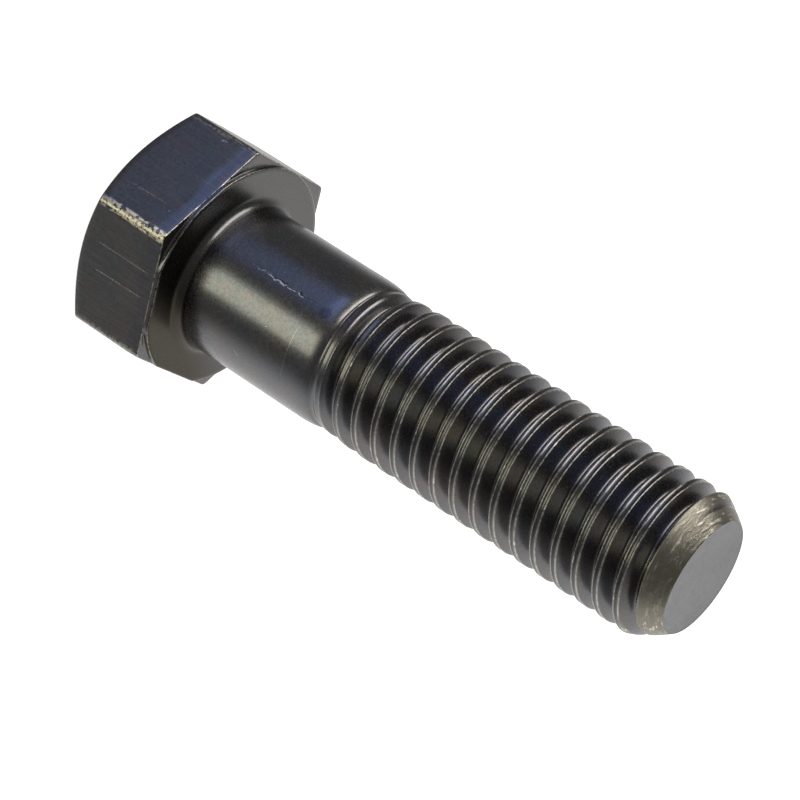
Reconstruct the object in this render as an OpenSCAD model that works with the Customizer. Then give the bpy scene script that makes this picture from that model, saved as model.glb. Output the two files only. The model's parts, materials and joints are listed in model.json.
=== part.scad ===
// Hex bolt, M8 x 30, partly threaded, with a hexagon head for a 12 mm wrench.
// One piece of steel: the head is forged, and the thread is rolled on the same blank.
// Millimetres. The origin is the centre of the bearing face, under the head, on the axis.
// +Z runs along the shank to the end, so the head stands below z = 0 on its top.

/* [Head] */
// Width across the flats, a 12 mm hexagon at the lower side of its tolerance
across_flats = 11.8; // [9:0.1:16]
// Height of the head, from the bearing face to the top
head_height = 5.3; // [4:0.1:8]
// How much smaller than the flats the flat circle on top of the head is, on its radius
head_top_inset = 0.3; // [0.1:0.05:1]
// Angle of the chamfer around the top, from the plane of the top
head_chamfer_angle = 30; // [15:1:40]
// Thickness of the washer face, the raised disc on the bearing side
washer_face_t = 0.25; // [0.15:0.05:0.6]
// How far the washer face reaches past the flats, on its radius, before they trim it
washer_face_reach = 0.1; // [-0.5:0.05:0.4]

/* [Shank] */
// Length of the bolt under the head, from the bearing face to the end
bolt_length = 30; // [24:1:80]
// Diameter of the plain shank
shank_d = 7.95; // [6:0.05:10]
// Radius of the fillet between the shank and the head
fillet_r = 0.5; // [0.2:0.05:0.8]
// Length over which the shank tapers down to the thread
neck_length = 1.1; // [0.5:0.1:2]
// How far the end of the taper lies below the shank's surface
neck_depth = 0.2; // [0.1:0.05:0.4]

/* [Thread] */
// Nominal thread diameter
thread_d = 8; // [6.4:0.1:10]
// Pitch of the thread
thread_pitch = 1.25; // [1:0.05:1.5]
// Length of the thread, from the end of the bolt to the neck
thread_length = 21.2; // [12:0.2:22]
// How much smaller than nominal the crests are, on the diameter
crest_allowance = 0.08; // [0:0.01:0.2]
// How much smaller than nominal the pitch diameter is
flank_allowance = 0.03; // [0:0.01:0.15]
// Radius of the rounded thread root
root_r = 0.18; // [0.12:0.01:0.2]
// Turns over which the crests grow to their full height, next to the neck
crest_run_out_turns = 2.6; // [1:0.1:4]
// Turns over which the roots grow to their full depth, next to the neck
root_run_out_turns = 1.3; // [1:0.1:4]
// Angle around the axis at which a crest reaches the end, from +X
thread_start_angle = 348; // [0:1:359]

/* [End] */
// How much smaller than the thread root the flat end face is, on its radius
end_inset = 0.22; // [0.01:0.01:0.5]
// Angle of the chamfer on the end, from the axis
end_chamfer_angle = 31; // [25:1:50]

/* [Hidden] */

// Half the angle between the thread's flanks
flank_angle = 30;
facets = 96;
neck_steps = 6;
fillet_steps = 8;
turn_steps = 36;
// How deep inside the neck the thread starts to grow
thread_burial = 0.02;
// How far a cutting outline reaches past what it trims
cutter_spare = 1;

shank_r = shank_d / 2;
neck_r = shank_r - neck_depth;
thread_z = bolt_length - thread_length;
neck_z = thread_z - neck_length;

// The sharp triangle that the thread's flanks would form
triangle_height = thread_pitch / 2 / tan(flank_angle);
crest_r = (thread_d - crest_allowance) / 2;
pitch_r = (thread_d - flank_allowance) / 2 - 3 / 8 * triangle_height;
apex_r = pitch_r - triangle_height / 2;
bottom_r = apex_r + root_r;
tangent_r = apex_r + 1.5 * root_r;
crest_half = thread_pitch / 4 - (crest_r - pitch_r) * tan(flank_angle);
root_half = root_r * cos(flank_angle);
end_r = bottom_r - end_inset;
thread_seed_r = neck_r - thread_burial;

head_corner_r = across_flats / 2 / cos(30);
head_top_r = across_flats / 2 - head_top_inset;
washer_face_r = across_flats / 2 + washer_face_reach;

// The thread's outline over one pitch, as [distance from the crest's middle, radius]
outline = [
    [-crest_half, crest_r],
    [crest_half, crest_r],
    [thread_pitch / 2 - root_half, tangent_r],
    [thread_pitch / 2, bottom_r],
    [thread_pitch / 2 + root_half, tangent_r]
];
outline_points = len(outline);

// The helix starts low enough for its open end to be hidden inside the neck
first_turn = floor((thread_z - bolt_length) / thread_pitch) - 1;
last_turn = 1;
columns = (last_turn - first_turn) * turn_steps;

function helix_z(step) = bolt_length + (first_turn + step / turn_steps) * thread_pitch;
function grown(z, turns) = min(1, max(0, (z - thread_z) / (turns * thread_pitch)));
function run_out_turns(r) = r > thread_seed_r ? crest_run_out_turns : root_run_out_turns;
function thread_r(r, z) = thread_seed_r + (r - thread_seed_r) * sin(90 * grown(z, run_out_turns(r)));
function thread_point(step, j) =
    let (
        angle = thread_start_angle + 360 * step / turn_steps,
        z = helix_z(step) + outline[j][0],
        r = thread_r(outline[j][1], z)
    )
    [r * cos(angle), r * sin(angle), z];

function index(step, j) = j < outline_points
    ? step * outline_points + j
    : (step + turn_steps) * outline_points + j - outline_points;

module threaded_blank() {
    points = [for (step = [0:columns + turn_steps]) for (j = [0:outline_points - 1])
        thread_point(step, j)];
    low = len(points);
    high = low + 1;
    sides = [for (step = [0:columns - 1]) for (j = [0:outline_points - 1])
        for (half = [0, 1]) half == 0
            ? [index(step, j), index(step, j + 1), index(step + 1, j)]
            : [index(step + 1, j), index(step, j + 1), index(step + 1, j + 1)]];
    low_cap = concat(
        [for (step = [0:turn_steps - 1]) [low, index(step, 0), index(step + 1, 0)]],
        [for (j = [0:outline_points - 1]) [low, index(0, j + 1), index(0, j)]]);
    high_cap = concat(
        [for (step = [0:turn_steps - 1]) [high, index(columns + step + 1, 0), index(columns + step, 0)]],
        [for (j = [0:outline_points - 1]) [high, index(columns, j), index(columns, j + 1)]]);
    polyhedron(
        points = concat(points, [[0, 0, helix_z(0)], [0, 0, helix_z(columns)]]),
        faces = concat(sides, low_cap, high_cap));
}

// Everything that the thread may fill: from the neck to the end, chamfered at the end
module thread_envelope() {
    reach = crest_r + cutter_spare;
    rotate_extrude($fn = facets)
        polygon([
            [0, thread_z],
            [reach, thread_z],
            [reach, bolt_length - (reach - end_r) / tan(end_chamfer_angle)],
            [end_r, bolt_length],
            [0, bolt_length]
        ]);
}

module thread() {
    intersection() {
        threaded_blank();
        thread_envelope();
    }
}

// The hexagon and its washer face, cut by one outline turned around the axis
module head() {
    reach = head_corner_r + cutter_spare;
    chamfer_rise = (reach - head_top_r) * tan(head_chamfer_angle);
    intersection() {
        translate([0, 0, -head_height])
            cylinder(r = head_corner_r, h = head_height, $fn = 6);
        rotate_extrude($fn = facets)
            polygon([
                [0, 0],
                [washer_face_r, 0],
                [washer_face_r, -washer_face_t],
                [reach, -washer_face_t],
                [reach, -head_height + chamfer_rise],
                [head_top_r, -head_height],
                [0, -head_height]
            ]);
    }
}

// The plain shank, with the fillet under the head and the taper down to the thread
module shank() {
    fillet = [for (i = [0:fillet_steps]) let (a = 90 * i / fillet_steps)
        [shank_r + fillet_r * (1 - sin(a)), fillet_r * (1 - cos(a))]];
    neck = [for (i = [0:neck_steps]) let (a = 90 * i / neck_steps)
        [shank_r - neck_depth * (1 - cos(a)), neck_z + neck_length * sin(a)]];
    rotate_extrude($fn = facets)
        polygon(concat(
            [[0, -washer_face_t], [shank_r + fillet_r, -washer_face_t]],
            fillet,
            neck,
            [[0, thread_z]]));
}

module hex_bolt() {
    color("#2b2c33")
    union() {
        head();
        shank();
        thread();
    }
}

hex_bolt();
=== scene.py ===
import json
import math

import bpy
import numpy as np
from mathutils import Matrix, Vector


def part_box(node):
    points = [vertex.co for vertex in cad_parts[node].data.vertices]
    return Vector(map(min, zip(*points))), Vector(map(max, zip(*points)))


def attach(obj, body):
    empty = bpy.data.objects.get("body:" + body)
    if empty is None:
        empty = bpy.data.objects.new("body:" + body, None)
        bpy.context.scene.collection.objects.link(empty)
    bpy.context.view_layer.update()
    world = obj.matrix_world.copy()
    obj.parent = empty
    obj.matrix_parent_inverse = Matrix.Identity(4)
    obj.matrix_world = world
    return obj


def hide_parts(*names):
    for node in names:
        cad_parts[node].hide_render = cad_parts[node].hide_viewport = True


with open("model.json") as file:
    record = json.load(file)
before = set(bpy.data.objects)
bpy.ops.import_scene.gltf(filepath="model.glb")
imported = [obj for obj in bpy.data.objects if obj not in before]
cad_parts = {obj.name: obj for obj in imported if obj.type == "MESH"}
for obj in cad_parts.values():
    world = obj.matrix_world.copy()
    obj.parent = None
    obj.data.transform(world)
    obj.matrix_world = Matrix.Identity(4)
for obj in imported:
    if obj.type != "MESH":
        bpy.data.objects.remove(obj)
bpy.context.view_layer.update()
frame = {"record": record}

MM = 0.001

# ---------------------------------------------------------------- sizes, in metres
low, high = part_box("hex_bolt")
mounts = {m["name"]: m for m in frame["record"]["mounts"]}
HEAD_TOP_Z = low[2]
END_Z = high[2]
FLAT_R = high[1]
CORNER_R = high[0]
SHANK_R = mounts["shank"]["dims"]["r_mm"] * MM

# the head
HEAD_TOP_R = FLAT_R - 0.3 * MM
HEAD_CHAMFER = math.tan(math.radians(30))
CORNER_ROUND = 0.35 * MM
WASHER_R = FLAT_R + 0.1 * MM
WASHER_T = 0.25 * MM
LIP = 0.05 * MM
BAND_WIDTH = 0.75 * MM
BAND_SLOPE = math.tan(math.radians(2.5))
# the hexagon was forged a little off the shank's axis, and turned a little
HEAD_SIDE = math.radians(27)
HEAD_OFFSET = 0.15 * MM
HEAD_SPIN = math.radians(1.0)
# the shank
FILLET_R = 0.5 * MM
PITCH = 1.25 * MM
THREAD_Z = END_Z - 21.2 * MM
NECK_Z = THREAD_Z - 1.1 * MM
NECK_R = SHANK_R - 0.2 * MM
# the thread
CREST_R = 3.96 * MM
START_ANGLE = math.radians(348)
# how far below the crest dents still show, in millimetres
DENT_REACH = 0.1
CREST_RUN_OUT = 2.6 * PITCH
ROOT_RUN_OUT = 1.3 * PITCH
# the end, which was cropped a little out of square and off the axis, so its near side stands above END_Z
END_R = 3.0 * MM
END_SLOPE = math.tan(math.radians(31))
END_TILT = math.tan(math.radians(3.6))
END_TILT_ANGLE = math.radians(117)
END_OFFSET = 0.12 * MM
END_DISH = 0.06 * MM
CHAMFER_LENGTH = 1.7 * MM
END_FILL = 0.85 * MM
END_FILL_FADE = 0.3 * MM
END_EDGE = 0.03 * MM
CHAMFER_BULGE = 0.07 * MM

# ---------------------------------------------------------------- camera
CAMERA_TARGET = Vector((-0.563, -0.286, 11.759)) * MM
CAMERA_HEADING = math.radians(-63.06)
CAMERA_TILT = math.radians(28.33)
CAMERA_ROLL = math.radians(123.07)
CAMERA_DISTANCE = 165.5 * MM


def camera_axes():
    ahead = Vector((math.cos(CAMERA_HEADING) * math.cos(CAMERA_TILT),
                    math.sin(CAMERA_HEADING) * math.cos(CAMERA_TILT),
                    -math.sin(CAMERA_TILT)))
    level = ahead.cross(Vector((0, 0, 1))).normalized()
    upright = level.cross(ahead)
    up = upright * math.cos(CAMERA_ROLL) - level * math.sin(CAMERA_ROLL)
    return ahead.cross(up), up, ahead


def make_camera():
    right, up, ahead = camera_axes()
    data = bpy.data.cameras.new("camera")
    data.lens = 154.5
    data.sensor_width = 36
    data.clip_start = 0.005
    data.clip_end = 20
    camera = bpy.data.objects.new("camera", data)
    bpy.context.scene.collection.objects.link(camera)
    place = Matrix((right, up, -ahead)).transposed().to_4x4()
    place.translation = CAMERA_TARGET - ahead * CAMERA_DISTANCE
    camera.matrix_world = place
    bpy.context.scene.camera = camera


make_camera()

# ---------------------------------------------------------------- the bolt's surface
# One closed skin of rings. A ring has a radius and a height at each angle around the axis, and the
# angles are closer together at the hexagon's rounded corners.
SECTOR = math.pi / 3
CORNER_SPAN = math.radians(1.65)


def ring_angles():
    near = CORNER_SPAN * np.linspace(-1, 1, 7)
    far = np.linspace(CORNER_SPAN, SECTOR - CORNER_SPAN, 27)[1:-1]
    sector = np.concatenate([near, far])
    return np.concatenate([sector + SECTOR * k for k in range(6)])


THETA = ring_angles()
COUNT = len(THETA)
TURN = np.mod(THETA + SECTOR / 2, SECTOR) - SECTOR / 2


def hexagon(flat_r, rounding):
    """The distance from the axis to a hexagon with rounded corners, at each angle."""
    side = flat_r / np.cos(SECTOR / 2 - np.abs(TURN))
    centre = (flat_r - rounding) / math.cos(SECTOR / 2)
    across = np.maximum(rounding ** 2 - (centre * np.sin(TURN)) ** 2, 0)
    edge = math.atan2(rounding * 0.5, centre + rounding * math.cos(SECTOR / 2))
    return np.where(np.abs(TURN) < edge, centre * np.cos(TURN) + np.sqrt(across), side)


def smooth_min(a, b, blend):
    """The smaller of two values, rounded off where they are within blend of each other."""
    h = np.clip(0.5 + 0.5 * (b - a) / blend, 0, 1)
    return b * (1 - h) + a * h - blend * h * (1 - h)


def arc(r, z, radius, start, end, steps):
    """Points of a circular arc in the outline, as pairs of radius and height, angles in degrees."""
    return [(r + radius * math.cos(math.radians(a)), z + radius * math.sin(math.radians(a)))
            for a in np.linspace(start, end, steps)]


def ripple(z, size, along, around, phase):
    """A slow, uneven wave over the surface, from a few sines that never line up."""
    wave = np.zeros(np.broadcast(z, THETA).shape)
    for k in range(1, 5):
        wave = wave + np.sin(k * 1.7 * z / along + round(around * k) * THETA + phase * k * k) / k
    return size * wave / 2


def polar(r, spin=0.0):
    """The points of a ring around the bolt's axis."""
    r = np.broadcast_to(r, THETA.shape)
    return np.stack([r * np.cos(THETA + spin), r * np.sin(THETA + spin)], axis=1)


def on_head(r):
    """The points of a ring around the middle of the hexagon."""
    return polar(r, HEAD_SPIN) + HEAD_OFFSET * np.array([math.cos(HEAD_SIDE), math.sin(HEAD_SIDE)])


MARKS = ("top_gap", "corner_gap", "rim_gap", "face_gap", "band", "flat", "lip", "bare", "end")


class Skin:
    """Collects rings of points and joins each to the last. Marks are values kept at each point."""

    def __init__(self):
        self.points = []
        self.marks = {name: [] for name in MARKS}
        self.faces = []
        self.count = 0
        self.last = None

    def place(self, ring, z, **marks):
        self.points.append(np.column_stack([ring, np.broadcast_to(z, THETA.shape)]))
        for name in MARKS:
            unset = 9.0 if name.endswith("_gap") else 0.0
            self.marks[name].append(np.broadcast_to(marks.get(name, unset), THETA.shape))
        ids = np.arange(self.count, self.count + COUNT)
        self.count += COUNT
        return ids

    def add(self, ring, z, **marks):
        ids = self.place(ring, z, **marks)
        if self.last is not None:
            self.strip(self.last, ids)
        self.last = ids
        return ids

    def strip(self, a, b):
        for i in range(COUNT):
            j = (i + 1) % COUNT
            self.face(a[i], a[j], b[j], b[i])

    def face(self, *corners):
        kept = [int(c) for k, c in enumerate(corners) if c != corners[k - 1]]
        if len(set(kept)) >= 3:
            self.faces.append(kept)

    def mesh(self, name):
        """Makes the mesh from the points that a face uses, with each mark as an attribute."""
        used = np.unique([c for face in self.faces for c in face])
        renumber = np.full(self.count, -1)
        renumber[used] = np.arange(len(used))
        points = np.concatenate(self.points)[used]
        mesh = bpy.data.meshes.new(name)
        mesh.from_pydata(points.tolist(), [], [[int(renumber[c]) for c in face] for face in self.faces])
        for mark, rows in self.marks.items():
            values = np.concatenate(rows)[used].astype(np.float32)
            mesh.attributes.new(mark, "FLOAT", "POINT").data.foreach_set("value", values)
        mesh.validate()
        mesh.shade_smooth()
        return mesh


skin = Skin()
HEXAGON = hexagon(FLAT_R, CORNER_ROUND)
CORNER_GAP = np.abs(TURN) * CORNER_R / MM


def build_head():
    # the flat top, then the chamfer out to the hexagon
    first = None
    for share in np.linspace(0.02, 0.97, 10):
        ids = skin.add(on_head(HEAD_TOP_R * share), HEAD_TOP_Z)
        first = ids if first is None else first
    skin.faces.append([int(c) for c in first[::-1]])
    rise = (HEXAGON - HEAD_TOP_R) * HEAD_CHAMFER
    edge_z = HEAD_TOP_Z + rise
    skin.add(on_head(HEAD_TOP_R - 0.06 * MM), HEAD_TOP_Z + 0.004 * MM)
    skin.add(on_head(HEAD_TOP_R + 0.06 * MM), HEAD_TOP_Z + 0.04 * MM)
    for share in (0.35, 0.7):
        skin.add(on_head(HEAD_TOP_R + 0.06 * MM + (HEXAGON - HEAD_TOP_R - 0.12 * MM) * share),
                 HEAD_TOP_Z + 0.035 * MM + (rise - 0.07 * MM) * share, top_gap=(1 - share) * 0.8)
    skin.add(on_head(HEXAGON - 0.06 * MM), edge_z - 0.035 * MM, top_gap=0.06)
    skin.add(on_head(HEXAGON - 0.012 * MM), edge_z + 0.005 * MM, top_gap=0.0, corner_gap=CORNER_GAP)
    start_z = edge_z + 0.05 * MM
    skin.add(on_head(HEXAGON), start_z, top_gap=0.05, corner_gap=CORNER_GAP, flat=1)
    # along the flats, which fall away a little in a band next to the bearing side
    band_z = -WASHER_T - BAND_WIDTH
    for share in np.linspace(0, 1, 12)[1:]:
        z = start_z + (band_z - start_z) * share
        skin.add(on_head(HEXAGON + ripple(z, 0.004 * MM, 2.5 * MM, 6, 1.0)), z, corner_gap=CORNER_GAP,
                 rim_gap=-z / MM, top_gap=(z - edge_z) / MM, flat=1)
    rim_z = -WASHER_T
    for share in (0.04, 0.3, 0.6, 0.9):
        z = band_z + BAND_WIDTH * share
        skin.add(on_head(HEXAGON - (z - band_z) * BAND_SLOPE), z, corner_gap=CORNER_GAP,
                 rim_gap=(rim_z - z) / MM, band=1, flat=1)
    # the rim stands proud of the washer face, most of all at the corners, and elsewhere it trims the disc
    rim = on_head(HEXAGON - BAND_WIDTH * BAND_SLOPE)
    reach = np.hypot(rim[:, 0], rim[:, 1])
    proud = np.maximum(reach - WASHER_R, 0)
    lip = np.minimum(proud, LIP)

    def inside(gap):
        return rim * ((reach - gap) / reach)[:, None]

    skin.add(inside(lip * 0.06), rim_z - 0.03 * MM, corner_gap=CORNER_GAP, rim_gap=0.0, flat=1)
    skin.add(inside(lip * 0.5), rim_z - 0.008 * MM, corner_gap=CORNER_GAP, rim_gap=0.0)
    skin.add(inside(lip), rim_z, rim_gap=0.03)
    for share in (0.35, 0.7, 0.97):
        skin.add(inside(lip + (proud - lip) * share), rim_z + 0.01 * share * MM, rim_gap=0.2 + share)
    skin.add(inside(proud), rim_z + 0.04 * MM)
    for share in (0.4, 0.8):
        skin.add(inside(proud), rim_z + (WASHER_T - 0.1 * MM) * share + 0.03 * MM)
    skin.add(inside(proud), -0.05 * MM, face_gap=0.06)
    skin.add(inside(proud + 0.012 * MM), -0.02 * MM, face_gap=0.0)
    disc = inside(proud + 0.05 * MM)
    skin.add(disc, 0, face_gap=0.03)
    inner = polar(SHANK_R + FILLET_R)
    for share in np.linspace(0, 1, 9)[1:]:
        height = ripple(share * 2 * MM, 0.002 * MM, 1.0 * MM, 2, 2.0) * (1 - share)
        skin.add(disc + (inner - disc) * share, height, face_gap=0.1 + share * 1.4)


def build_shank():
    # the fillet's face_gap of 1.5 puts it wholly under the painted shade of the washer face
    for r, z in arc(SHANK_R + FILLET_R, FILLET_R, FILLET_R, 270, 180, 11)[1:]:
        skin.add(polar(r), z, face_gap=1.5)
    for z in np.linspace(FILLET_R, NECK_Z, 20)[1:]:
        skin.add(polar(SHANK_R + ripple(z, 0.004 * MM, 3 * MM, 3, 0.4)), z)
    for share in np.linspace(0, 1, 13)[1:]:
        a = math.pi / 2 * share
        r = SHANK_R - (SHANK_R - NECK_R) * (1 - math.cos(a))
        skin.add(polar(r), NECK_Z + (THREAD_Z - NECK_Z) * math.sin(a))


# The rolled thread over half a pitch, from the crest's middle: the distance along the axis, the distance
# below the crest and the mark "lip", which is 1 on the crest's two thin lips and below 0 in the shallow
# channel between them
HALF_OUTLINE = [
    (0.000, 0.036, -1.0), (0.075, 0.026, -0.8), (0.120, 0.006, 0.5), (0.145, 0.000, 1.0),
    (0.163, 0.009, 1.0), (0.178, 0.028, 0.6), (0.192, 0.053, 0.0),
    (0.270, 0.190, 0.0), (0.350, 0.328, 0.0),
    (0.475, 0.545, 0.0), (0.520, 0.620, 0.0), (0.570, 0.680, 0.0), (0.625, 0.710, 0.0)]


def end_radius():
    return END_R + END_OFFSET * np.cos(THETA - HEAD_SIDE)


def end_height(ring):
    """The height of the cropped end at the points of a ring."""
    across = ring[:, 0] * math.cos(END_TILT_ANGLE) + ring[:, 1] * math.sin(END_TILT_ANGLE)
    return END_Z + END_TILT * across


def build_thread():
    far_half = [(PITCH / MM - u, depth, lip) for u, depth, lip in HALF_OUTLINE[-2:0:-1]]
    outline = HALF_OUTLINE + far_half
    rows = len(outline)
    first_turn = math.floor((THREAD_Z - END_Z) / PITCH) - 2
    start = END_Z - START_ANGLE / (2 * math.pi) * PITCH
    end_r = end_radius()
    end_z = end_height(polar(end_r))
    snap = 0.012 * MM
    low_ring = skin.last
    end_ring = skin.place(polar(end_r), end_z, bare=1)
    grid = []
    for n in range(first_turn, 3):
        for u, depth, lip in outline:
            z = start + n * PITCH + u * MM + PITCH * THETA / (2 * math.pi)
            crest_grown = np.clip((z - THREAD_Z) / CREST_RUN_OUT, 0, 1)
            root_grown = np.clip((z - THREAD_Z) / ROOT_RUN_OUT, 0, 1)
            dent = np.maximum(ripple(z, 0.02 * MM, 0.9 * MM, 7, 3.0) - 0.008 * MM, 0)
            dent = dent * max(0, 1 - depth / DENT_REACH)
            rise = CREST_R - depth * MM - dent - NECK_R
            grown = np.where(rise > 0, crest_grown, root_grown)
            r = NECK_R + rise * np.sin(grown * math.pi / 2)
            fall = np.maximum(end_z - z, 0)
            along = np.clip(fall / CHAMFER_LENGTH, 0, 1)
            cone = end_r + fall * END_SLOPE + 4 * CHAMFER_BULGE * along * (1 - along)
            # the blank's end was turned before rolling, so the groove fades out next to the end
            filled = np.clip((END_FILL - fall) / END_FILL_FADE, 0, 1)
            r = r + (np.maximum(r, cone + END_EDGE) - r) * filled
            bare = np.clip((r - cone) / END_EDGE + 0.5, 0, 1)
            shown = lip * crest_grown * (1 - bare)
            ids = skin.place(polar(smooth_min(r, cone, END_EDGE)), z, lip=shown, bare=bare)
            ids = np.where(z <= THREAD_Z + snap, low_ring, ids)
            grid.append(np.where(z >= end_z - snap, end_ring, ids))
    last = len(grid) - 1
    for j in range(last):
        a, b = grid[j], grid[j + 1]
        for i in range(COUNT - 1):
            skin.face(a[i], a[i + 1], b[i + 1], b[i])
        # after one turn the helix has risen by a pitch, so the seam joins rows that far apart
        up = [grid[min(k + rows, last)] for k in (j, j + 1)]
        skin.face(a[-1], up[0][0], up[1][0], b[-1])
    skin.last = end_ring


def build_end():
    for share in (0.995, 0.97, 0.93, 0.85, 0.72, 0.55, 0.36, 0.18, 0.04):
        ring = polar(end_radius() * share)
        fall = 0.004 * MM if share > 0.99 else 0.012 * MM + END_DISH * (1 - share ** 2)
        skin.add(ring, end_height(ring) - fall, end=1)
    skin.faces.append([int(c) for c in skin.last])


build_head()
build_shank()
build_thread()
build_end()

bolt = bpy.data.objects.new("bolt_body", skin.mesh("hex_bolt_surface"))
bpy.context.scene.collection.objects.link(bolt)
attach(bolt, "root")
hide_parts("hex_bolt")

# ---------------------------------------------------------------- material


class Shader:
    """Short names for the nodes of one material. Lengths in it are millimetres."""

    def __init__(self, name):
        self.material = bpy.data.materials.new(name)
        self.material.use_nodes = True
        self.tree = self.material.node_tree
        self.tree.nodes.clear()

    def node(self, kind, **settings):
        n = self.tree.nodes.new(kind)
        for k, v in settings.items():
            setattr(n, k, v)
        return n

    def link(self, source, socket):
        if isinstance(source, (int, float, tuple)):
            socket.default_value = source
        else:
            self.tree.links.new(source, socket)

    def mark(self, name):
        return self.node("ShaderNodeAttribute", attribute_name=name).outputs["Fac"]

    def math(self, operation, a, b=0.0):
        n = self.node("ShaderNodeMath", operation=operation)
        self.link(a, n.inputs[0])
        self.link(b, n.inputs[1])
        return n.outputs[0]

    def times(self, *values):
        product = values[0]
        for v in values[1:]:
            product = self.math("MULTIPLY", product, v)
        return product

    def most(self, *values):
        best = values[0]
        for v in values[1:]:
            best = self.math("MAXIMUM", best, v)
        return best

    def fade(self, value, start, end, low=0.0, high=1.0):
        n = self.node("ShaderNodeMapRange", interpolation_type="SMOOTHSTEP")
        for socket, v in zip(n.inputs[:5], (value, start, end, low, high)):
            self.link(v, socket)
        return n.outputs[0]

    def vector(self, x, y, z):
        n = self.node("ShaderNodeCombineXYZ")
        for socket, v in zip(n.inputs, (x, y, z)):
            self.link(v, socket)
        return n.outputs[0]

    def stretch(self, where, scale):
        n = self.node("ShaderNodeVectorMath", operation="MULTIPLY")
        self.link(where, n.inputs[0])
        n.inputs[1].default_value = scale
        return n.outputs[0]

    def noise(self, where, scale, detail=3.0, roughness=0.55):
        n = self.node("ShaderNodeTexNoise")
        self.link(where, n.inputs["Vector"])
        n.inputs["Scale"].default_value = scale
        n.inputs["Detail"].default_value = detail
        n.inputs["Roughness"].default_value = roughness
        return n.outputs["Fac"]

    def mix(self, share, a, b):
        n = self.node("ShaderNodeMix", data_type="RGBA")
        self.link(share, n.inputs[0])
        self.link(a, n.inputs[6])
        self.link(b, n.inputs[7])
        return n.outputs[2]

    def bump(self, height, depth, normal=None):
        n = self.node("ShaderNodeBump")
        n.inputs["Strength"].default_value = 1.0
        n.inputs["Distance"].default_value = depth * MM
        self.link(height, n.inputs["Height"])
        if normal is not None:
            self.link(normal, n.inputs["Normal"])
        return n.outputs[0]

    def scratch(self, where, centre, length, width, lean=0.0):
        """A thin ellipse on the unrolled surface. lean turns it from the axis's direction, in degrees."""
        n = self.node("ShaderNodeMapping", vector_type="TEXTURE")
        self.link(where, n.inputs["Vector"])
        n.inputs["Location"].default_value = (centre[0], centre[1], 0)
        n.inputs["Rotation"].default_value = (0, 0, math.radians(lean))
        n.inputs["Scale"].default_value = (width / 2, length / 2, 1)
        size = self.node("ShaderNodeVectorMath", operation="LENGTH")
        self.link(n.outputs[0], size.inputs[0])
        return self.fade(size.outputs["Value"], 1.0, 0.5)


# Scratches that stand out, on the surface unrolled around the axis: the angle in degrees and the height of
# the middle, then the length, width and lean
SHANK_SCRATCHES = [(168, 4.1, 0.6, 0.04, -40), (134, 5.5, 0.18, 0.08, 30)]
FLAT_SCRATCHES = [(64.2, -2.1, 0.5, 0.14, 8), (106.2, -2.8, 3.6, 0.035, 1), (108.3, -1.2, 0.12, 0.1, 0),
                  (152.4, -2.4, 4.0, 0.04, 1), (138.4, -2.4, 4.2, 0.035, 0)]


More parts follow.
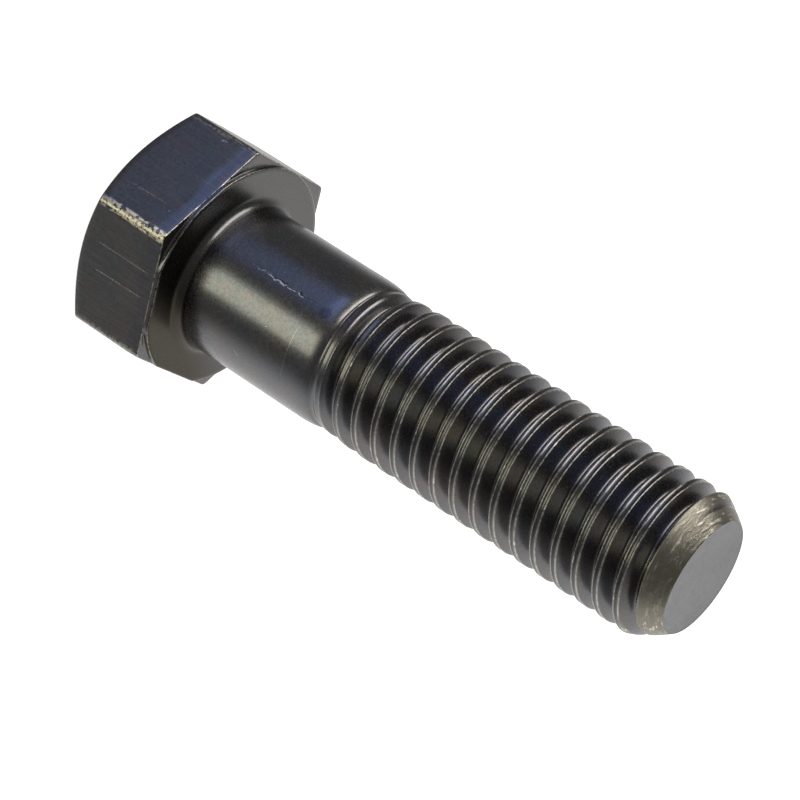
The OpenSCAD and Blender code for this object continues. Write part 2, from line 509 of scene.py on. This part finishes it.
def black_steel():
    s = Shader("black_steel")
    metres = s.node("ShaderNodeTexCoord").outputs["Object"]
    place = s.stretch(metres, (1000, 1000, 1000))
    split = s.node("ShaderNodeSeparateXYZ")
    s.link(place, split.inputs[0])
    x, y, z = split.outputs
    angle = s.math("ARCTAN2", y, x)
    radius = s.math("SQRT", s.math("ADD", s.times(x, x), s.times(y, y)))

    patches = s.noise(place, 0.5)
    tint = s.noise(place, 0.9, 2.0)
    mottle = s.noise(place, 5.0, 4.0)
    grain = s.noise(place, 22.0, 2.0)
    streaks = s.noise(s.stretch(place, (9.0, 9.0, 0.45)), 1.0, 3.0)
    lathe = s.noise(s.vector(s.times(radius, 4.5), s.times(z, 4.5), s.times(angle, 4.5)), 1.0, 5.0, 0.7)
    corner, rim, top_edge, face_edge = (s.mark(m) for m in ("corner_gap", "rim_gap", "top_gap", "face_gap"))
    band, flat, lip, bare, end = (s.mark(m) for m in ("band", "flat", "lip", "bare", "end"))

    # the unrolled surface: distance around at the shank's or the flats' radius, and height
    shank_mm, flat_mm = SHANK_R / MM, 6.2
    wobble = s.math("MULTIPLY", s.math("SUBTRACT", s.noise(place, 2.6, 2.0), 0.5), 0.35)
    on_shank = s.vector(s.times(angle, shank_mm), z, 0.0)
    on_flats = s.vector(s.times(angle, flat_mm), z, 0.0)
    wavy = s.vector(s.math("ADD", s.times(angle, shank_mm), wobble), z, 0.0)

    def marks(where, r, items):
        return s.most(*[s.scratch(where, (math.radians(a) * r, h), long, wide, lean)
                        for a, h, long, wide, lean in items])

    broken = s.fade(mottle, 0.38, 0.52)
    seam_at = math.radians(102.5) * shank_mm
    seam = s.times(s.scratch(wavy, (seam_at, 4.9), 4.8, 0.09), broken)
    seam_shade = s.scratch(wavy, (seam_at - 0.07, 5.2), 4.6, 0.11)
    ring_line = s.scratch(on_shank, (math.radians(140) * shank_mm, 7.1), 3.6, 0.035, 90)
    scratches = s.most(marks(on_shank, shank_mm, SHANK_SCRATCHES), marks(on_flats, flat_mm, FLAT_SCRATCHES))
    dings = s.times(s.fade(s.noise(place, 1.6, 1.0), 0.66, 0.72), s.fade(lip, 0.1, 0.6))
    pits = s.fade(grain, 0.34, 0.27)

    # painted shade: a dark patch on the neck, where the neck's curve shows the dark gap between the lights'
    # reflections
    neck_painted_shade = s.scratch(wavy, (math.radians(103.7) * shank_mm, 7.9), 0.9, 0.8, 20)

    # wear: thin broken lines on the edges, and a scuffed stripe along the hexagon's corners, which is bold
    # on the corner at 120 degrees and faint on the others
    from_corner = s.math("ABSOLUTE", s.math("SUBTRACT", angle, 2 * SECTOR))
    stripe = s.times(s.fade(corner, 0.34, 0.24), s.fade(streaks, 0.34, 0.5),
                     s.fade(mottle, 0.42, 0.54), flat,
                     s.fade(rim, 5.0, 1.0, 0.45, 1.0), s.fade(from_corner, 0.4, 0.3, 0.2, 1.0))
    worn = s.most(stripe,
                  s.times(s.fade(rim, 0.05, 0.0), s.fade(mottle, 0.38, 0.5), 0.9),
                  s.times(s.fade(top_edge, 0.05, 0.0), broken, 0.6),
                  s.times(s.fade(face_edge, 0.05, 0.0), broken, 0.5),
                  s.times(lip, s.fade(mottle, 0.3, 0.6, 0.25, 0.9)))
    rubbed = s.times(scratches, s.fade(grain, 0.4, 0.55), 0.75)
    scuffs = s.most(seam, s.times(ring_line, 0.35), rubbed, dings)

    oxide = s.mix(s.fade(patches, 0.4, 0.62), (0.150, 0.152, 0.160, 1), (0.165, 0.158, 0.152, 1))
    oxide = s.mix(s.fade(tint, 0.5, 0.7), oxide, (0.170, 0.150, 0.152, 1))
    # painted reflection: the band next to the bearing side is tinted blue, like the cool softbox it
    # reflects
    oxide = s.mix(s.times(band, 0.2), oxide, (0.130, 0.140, 0.210, 1))
    # painted shade: the washer face and the fillet are painted darker, and darker and browner still towards
    # -x, in place of the shade and the shank's dark reflection there
    painted_shade_by_head = s.mix(s.fade(x, -0.5, -4.5), (0.132, 0.130, 0.127, 1), (0.062, 0.054, 0.042, 1))
    oxide = s.mix(s.fade(face_edge, 4.0, 2.0), oxide, painted_shade_by_head)
    # painted shade: the shallow channel between the crest's lips is painted darker
    oxide = s.mix(s.fade(lip, -0.1, -0.9, 0.0, 0.6), oxide, (0.060, 0.058, 0.055, 1))
    oxide = s.mix(s.times(flat, s.fade(streaks, 0.45, 0.65, 0.0, 0.5)), oxide, (0.21, 0.20, 0.18, 1))
    # painted highlight: the chamfer's turning marks are real, but they are painted bright at full strength
    # only up to about 103 degrees around, and at a quarter of it from about 137 to 180 degrees
    lathe_marks_and_painted_highlight = s.times(s.fade(lathe, 0.52, 0.66), s.fade(angle, 2.4, 1.8, 0.25, 1.0))
    turned = s.mix(lathe_marks_and_painted_highlight, (0.240, 0.222, 0.180, 1), (0.80, 0.76, 0.62, 1))
    cropped = s.mix(s.fade(patches, 0.3, 0.7), (0.225, 0.218, 0.226, 1), (0.245, 0.241, 0.241, 1))
    colour = s.mix(bare, oxide, turned)
    colour = s.mix(end, colour, cropped)
    colour = s.mix(worn, colour, (0.60, 0.56, 0.46, 1))
    colour = s.mix(stripe, colour, (0.95, 0.86, 0.62, 1))
    colour = s.mix(scuffs, colour, (0.72, 0.70, 0.64, 1))
    # the line beside the seam and the patch on the neck are painted shade; the pits are the grain's own
    dark = s.most(s.times(seam_shade, 0.9), s.times(pits, 0.35), s.times(neck_painted_shade, 0.6))
    colour = s.mix(dark, colour, (0.05, 0.05, 0.06, 1))

    rough = s.fade(mottle, 0.3, 0.7, 0.22, 0.29)
    rough = s.math("ADD", rough, s.times(flat, 0.04))
    rough = s.math("ADD", rough, s.times(bare, 0.12))
    rough = s.math("ADD", rough, s.times(end, 0.18))
    rough = s.math("ADD", rough, s.times(s.most(worn, scuffs), 0.08))
    rough = s.math("ADD", rough, s.times(stripe, 0.2))

    normal = s.bump(s.times(streaks, s.math("ADD", flat, 0.08)), 0.006)
    normal = s.bump(s.times(lathe, bare), 0.035, normal)
    normal = s.bump(mottle, 0.0015, normal)
    dips = s.most(s.times(scratches, 0.6), s.times(pits, 0.5), dings, seam_shade)
    normal = s.bump(s.math("MULTIPLY", dips, -1.0), 0.01, normal)

    surface = s.node("ShaderNodeBsdfPrincipled")
    surface.inputs["Metallic"].default_value = 1.0
    s.link(colour, surface.inputs["Base Color"])
    s.link(rough, surface.inputs["Roughness"])
    s.link(normal, surface.inputs["Normal"])
    s.link(surface.outputs[0], s.node("ShaderNodeOutputMaterial").inputs["Surface"])
    return s.material


bolt.data.materials.append(black_steel())

# ---------------------------------------------------------------- floor and light
# The studio is lit as if the bolt lay on a pale table, on one of its flats: bright from the table's side,
# dim on the other, with soft lights in the dim half. Beyond the bolt the table reaches higher.
TABLE_UP = Vector((0.159, 0.987, 0))
BEYOND = 0.3
TABLE_AT, TABLE_GLOW = -0.9, 1.3
ROOM_AT, ROOM_GLOW = -0.1, 0.20


def plain(name, colour, glow):
    s = Shader(name)
    surface = s.node("ShaderNodeBsdfPrincipled")
    surface.inputs["Base Color"].default_value = colour
    surface.inputs["Roughness"].default_value = 0.9
    surface.inputs["Specular IOR Level"].default_value = 0.1
    surface.inputs["Emission Color"].default_value = (1, 1, 1, 1)
    surface.inputs["Emission Strength"].default_value = glow
    s.link(surface.outputs[0], s.node("ShaderNodeOutputMaterial").inputs["Surface"])
    return s.material


def make_floor():
    half = 1.5
    data = bpy.data.meshes.new("floor")
    data.from_pydata([(-half, -half, HEAD_TOP_Z), (half, -half, HEAD_TOP_Z),
                      (half, half, HEAD_TOP_Z), (-half, half, HEAD_TOP_Z)], [], [(0, 1, 2, 3)])
    data.materials.append(plain("floor", (0.85, 0.85, 0.85, 1), 0.92))
    floor = bpy.data.objects.new("floor", data)
    bpy.context.scene.collection.objects.link(floor)
    floor.visible_glossy = False
    floor.visible_shadow = False


def make_world():
    world = bpy.data.worlds.new("studio")
    world.use_nodes = True
    tree = world.node_tree
    tree.nodes.clear()
    direction = tree.nodes.new("ShaderNodeTexCoord").outputs["Generated"]
    dot = tree.nodes.new("ShaderNodeVectorMath")
    dot.operation = "DOT_PRODUCT"
    tree.links.new(direction, dot.inputs[0])
    dot.inputs[1].default_value = TABLE_UP - camera_axes()[2] * BEYOND
    ramp = tree.nodes.new("ShaderNodeMapRange")
    ramp.interpolation_type = "SMOOTHSTEP"
    tree.links.new(dot.outputs["Value"], ramp.inputs["Value"])
    for socket, v in zip(ramp.inputs[1:5], (TABLE_AT, ROOM_AT, TABLE_GLOW, ROOM_GLOW)):
        socket.default_value = v
    back = tree.nodes.new("ShaderNodeBackground")
    tree.links.new(ramp.outputs[0], back.inputs["Strength"])
    out = tree.nodes.new("ShaderNodeOutputWorld")
    tree.links.new(back.outputs[0], out.inputs["Surface"])
    bpy.context.scene.world = world


def softbox(name, around, along, distance, width, height, radiance, colour):
    """An area light aimed at the bolt. around turns it about the bolt's axis from the camera's side, and
    along is how far it stands towards the head. Those and its width and height are in degrees."""
    ahead = camera_axes()[2]
    towards = math.atan2(-ahead.y, -ahead.x) + math.radians(around)
    lean = math.radians(along)
    way = Vector((math.cos(towards) * math.cos(lean), math.sin(towards) * math.cos(lean), -math.sin(lean)))
    data = bpy.data.lights.new(name, "AREA")
    data.shape = "RECTANGLE"
    data.size = 2 * distance * math.tan(math.radians(width / 2))
    data.size_y = 2 * distance * math.tan(math.radians(height / 2))
    data.energy = radiance * math.pi * data.size * data.size_y
    data.color = colour
    light = bpy.data.objects.new(name, data)
    bpy.context.scene.collection.objects.link(light)
    side = way.cross(Vector((0, 0, 1))).normalized()
    rise = side.cross(way)
    place = Matrix((side, rise, way)).transposed().to_4x4()
    place.translation = Vector((0, 0, 10 * MM)) + way * distance
    light.matrix_world = place


make_floor()
make_world()
softbox("softbox_cool", -42, 22, 0.5, 38, 13, 1.75, (0.27, 0.42, 0.92))
softbox("softbox_warm", 19, 27, 0.5, 29, 28, 2.5, (0.99, 1.0, 0.80))
softbox("softbox_key", -62, -14, 0.5, 66, 28, 4.2, (1.0, 0.98, 0.95))

bpy.context.scene.view_settings.view_transform = "Standard"
